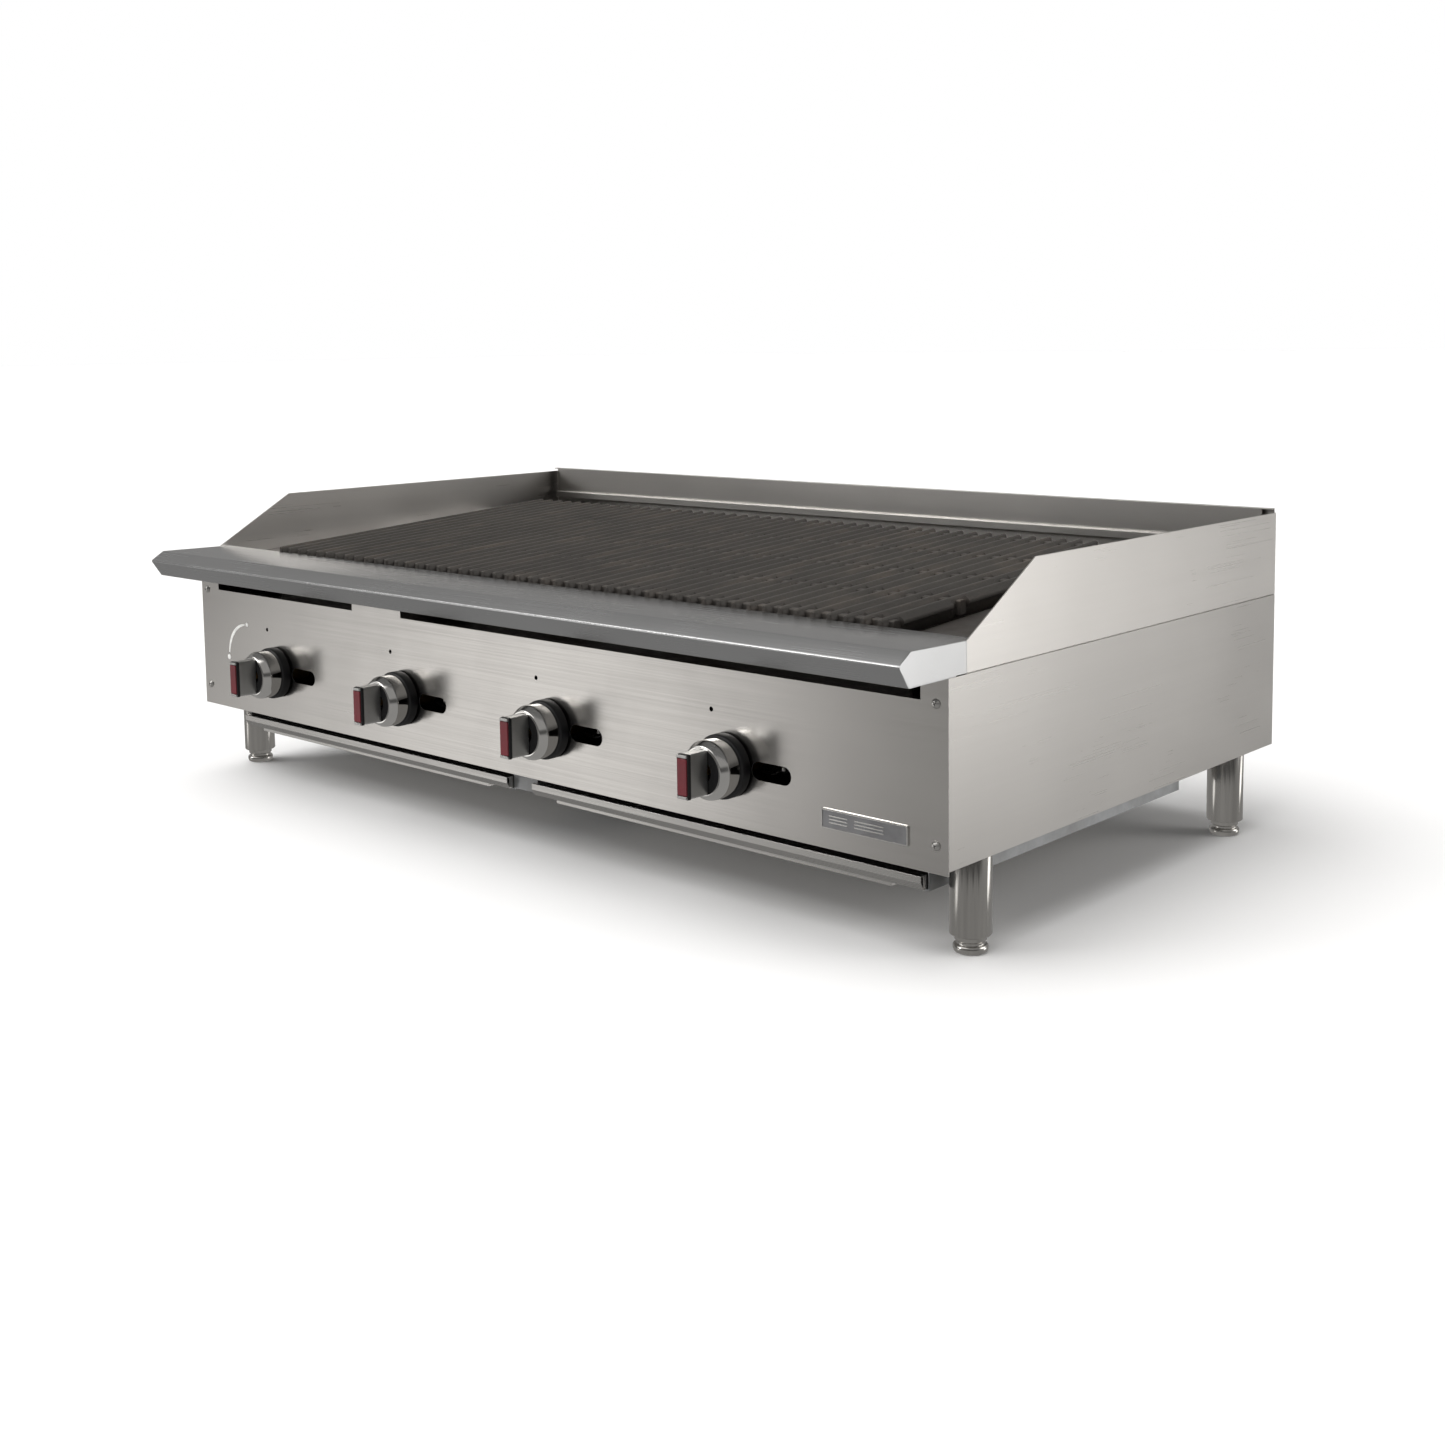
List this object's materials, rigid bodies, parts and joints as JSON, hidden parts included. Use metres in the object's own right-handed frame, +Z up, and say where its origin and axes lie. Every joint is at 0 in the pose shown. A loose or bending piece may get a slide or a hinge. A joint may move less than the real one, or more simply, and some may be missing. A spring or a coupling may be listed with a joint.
{
  "type": "countertop gas charbroiler",
  "caption": "Low countertop gas charbroiler: sloping cast grates between splash guards, front ledge, row of knobs, pull-out drip trays, tubular legs.",
  "frame": {"origin": "on the worktop, at the centre of the whole object's bounding box in plan", "axes": "+X to the right of a person at the controls, +Y towards the back, +Z up"},
  "size_m": [1.219, 0.79, 0.3685],
  "materials": {
    "body_steel": "brushed stainless, fine horizontal grain",
    "ledge_steel": "brushed stainless, cooler and slightly darker",
    "chassis_steel": "mill-finish steel, dull grey",
    "firebox_steel": "heat-darkened steel, sooty",
    "pipe_steel": "black steel pipe",
    "brass": "dull brass",
    "pilot_metal": "satin tube",
    "regulator_metal": "die-cast, slightly rough",
    "badge": "satin plate with a bright rim",
    "screw_steel": "bright pan heads",
    "tray_steel": "brushed sheet",
    "leg_steel": "brushed tube",
    "foot_steel": "turned and polished",
    "burner_steel": "heat-tinted stainless tube",
    "shutter_steel": "plated sheet",
    "radiant_steel": "heat-darkened sheet",
    "knob_body": "black moulding with a satin grey grip and a dark red insert",
    "knob_chrome": "polished bezel",
    "grate_iron": "seasoned cast iron"
  },
  "bodies": {
    "root": {"control_panel": "body_steel", "front_ledge": "ledge_steel", "left_side_panel": "body_steel", "right_side_panel": "body_steel", "back_panel": "body_steel", "base_frame": "chassis_steel", "left_splash": "body_steel", "right_splash": "body_steel", "back_splash": "body_steel", "firebox_left_wall": "firebox_steel", "firebox_right_wall": "firebox_steel", "firebox_front_wall": "firebox_steel", "firebox_rear_wall": "firebox_steel", "gas_manifold": "pipe_steel", "valve_bodies": "brass", "pilot_lights": "pilot_metal", "pressure_regulator": "regulator_metal", "badge_plate": "badge", "panel_screws": "screw_steel", "leg_1": "leg_steel", "leg_2": "leg_steel", "leg_3": "leg_steel", "leg_4": "leg_steel", "burner_1": "burner_steel", "burner_2": "burner_steel", "burner_3": "burner_steel", "burner_4": "burner_steel", "radiant_1": "radiant_steel", "radiant_2": "radiant_steel", "radiant_3": "radiant_steel", "radiant_4": "radiant_steel"},
    "knob_1": {"knob_1": "knob_body", "knob_bezel_1": "knob_chrome", "valve_stem_1": "brass"},
    "knob_2": {"knob_2": "knob_body", "knob_bezel_2": "knob_chrome", "valve_stem_2": "brass"},
    "knob_3": {"knob_3": "knob_body", "knob_bezel_3": "knob_chrome", "valve_stem_3": "brass"},
    "knob_4": {"knob_4": "knob_body", "knob_bezel_4": "knob_chrome", "valve_stem_4": "brass"},
    "air_shutter_1": {"air_shutter_1": "shutter_steel"},
    "air_shutter_2": {"air_shutter_2": "shutter_steel"},
    "air_shutter_3": {"air_shutter_3": "shutter_steel"},
    "air_shutter_4": {"air_shutter_4": "shutter_steel"},
    "grate_1": {"grate_1": "grate_iron"},
    "grate_2": {"grate_2": "grate_iron"},
    "grate_3": {"grate_3": "grate_iron"},
    "grate_4": {"grate_4": "grate_iron"},
    "grate_5": {"grate_5": "grate_iron"},
    "grate_6": {"grate_6": "grate_iron"},
    "grate_7": {"grate_7": "grate_iron"},
    "drip_tray_left": {"drip_tray_left": "tray_steel"},
    "drip_tray_right": {"drip_tray_right": "tray_steel"},
    "foot_1": {"foot_1": "foot_steel"},
    "foot_2": {"foot_2": "foot_steel"},
    "foot_3": {"foot_3": "foot_steel"},
    "foot_4": {"foot_4": "foot_steel"}
  },
  "joints": [
    {"name": "knob_1_turn", "type": "hinge", "parent": "root", "child": "knob_1", "pos_m": [-0.43615, -0.323, 0.151], "axis": [0, -1, 0], "range_deg": [0, 90]},
    {"name": "knob_2_turn", "type": "hinge", "parent": "root", "child": "knob_2", "pos_m": [-0.17565, -0.323, 0.151], "axis": [0, -1, 0], "range_deg": [0, 90]},
    {"name": "knob_3_turn", "type": "hinge", "parent": "root", "child": "knob_3", "pos_m": [0.08485, -0.323, 0.151], "axis": [0, -1, 0], "range_deg": [0, 90]},
    {"name": "knob_4_turn", "type": "hinge", "parent": "root", "child": "knob_4", "pos_m": [0.34535, -0.323, 0.151], "axis": [0, -1, 0], "range_deg": [0, 90]},
    {"name": "air_shutter_1_turn", "type": "hinge", "parent": "root", "child": "air_shutter_1", "pos_m": [-0.43615, -0.255, 0.151], "axis": [0, 1, 0], "range_deg": [-45, 45]},
    {"name": "air_shutter_2_turn", "type": "hinge", "parent": "root", "child": "air_shutter_2", "pos_m": [-0.17565, -0.255, 0.151], "axis": [0, 1, 0], "range_deg": [-45, 45]},
    {"name": "air_shutter_3_turn", "type": "hinge", "parent": "root", "child": "air_shutter_3", "pos_m": [0.08485, -0.255, 0.151], "axis": [0, 1, 0], "range_deg": [-45, 45]},
    {"name": "air_shutter_4_turn", "type": "hinge", "parent": "root", "child": "air_shutter_4", "pos_m": [0.34535, -0.255, 0.151], "axis": [0, 1, 0], "range_deg": [-45, 45]},
    {"name": "grate_1_lift", "type": "slide", "parent": "root", "child": "grate_1", "axis": [0, 0, 1], "range_m": [0, 0.15]},
    {"name": "grate_2_lift", "type": "slide", "parent": "root", "child": "grate_2", "axis": [0, 0, 1], "range_m": [0, 0.15]},
    {"name": "grate_3_lift", "type": "slide", "parent": "root", "child": "grate_3", "axis": [0, 0, 1], "range_m": [0, 0.15]},
    {"name": "grate_4_lift", "type": "slide", "parent": "root", "child": "grate_4", "axis": [0, 0, 1], "range_m": [0, 0.15]},
    {"name": "grate_5_lift", "type": "slide", "parent": "root", "child": "grate_5", "axis": [0, 0, 1], "range_m": [0, 0.15]},
    {"name": "grate_6_lift", "type": "slide", "parent": "root", "child": "grate_6", "axis": [0, 0, 1], "range_m": [0, 0.15]},
    {"name": "grate_7_lift", "type": "slide", "parent": "root", "child": "grate_7", "axis": [0, 0, 1], "range_m": [0, 0.15]},
    {"name": "drip_tray_left_pull", "type": "slide", "parent": "root", "child": "drip_tray_left", "axis": [0, -1, 0], "range_m": [0, 0.45]},
    {"name": "drip_tray_right_pull", "type": "slide", "parent": "root", "child": "drip_tray_right", "axis": [0, -1, 0], "range_m": [0, 0.45]},
    {"name": "foot_1_height", "type": "slide", "parent": "root", "child": "foot_1", "axis": [0, 0, -1], "range_m": [-0.005, 0.025]},
    {"name": "foot_2_height", "type": "slide", "parent": "root", "child": "foot_2", "axis": [0, 0, -1], "range_m": [-0.005, 0.025]},
    {"name": "foot_3_height", "type": "slide", "parent": "root", "child": "foot_3", "axis": [0, 0, -1], "range_m": [-0.005, 0.025]},
    {"name": "foot_4_height", "type": "slide", "parent": "root", "child": "foot_4", "axis": [0, 0, -1], "range_m": [-0.005, 0.025]}
  ]
}
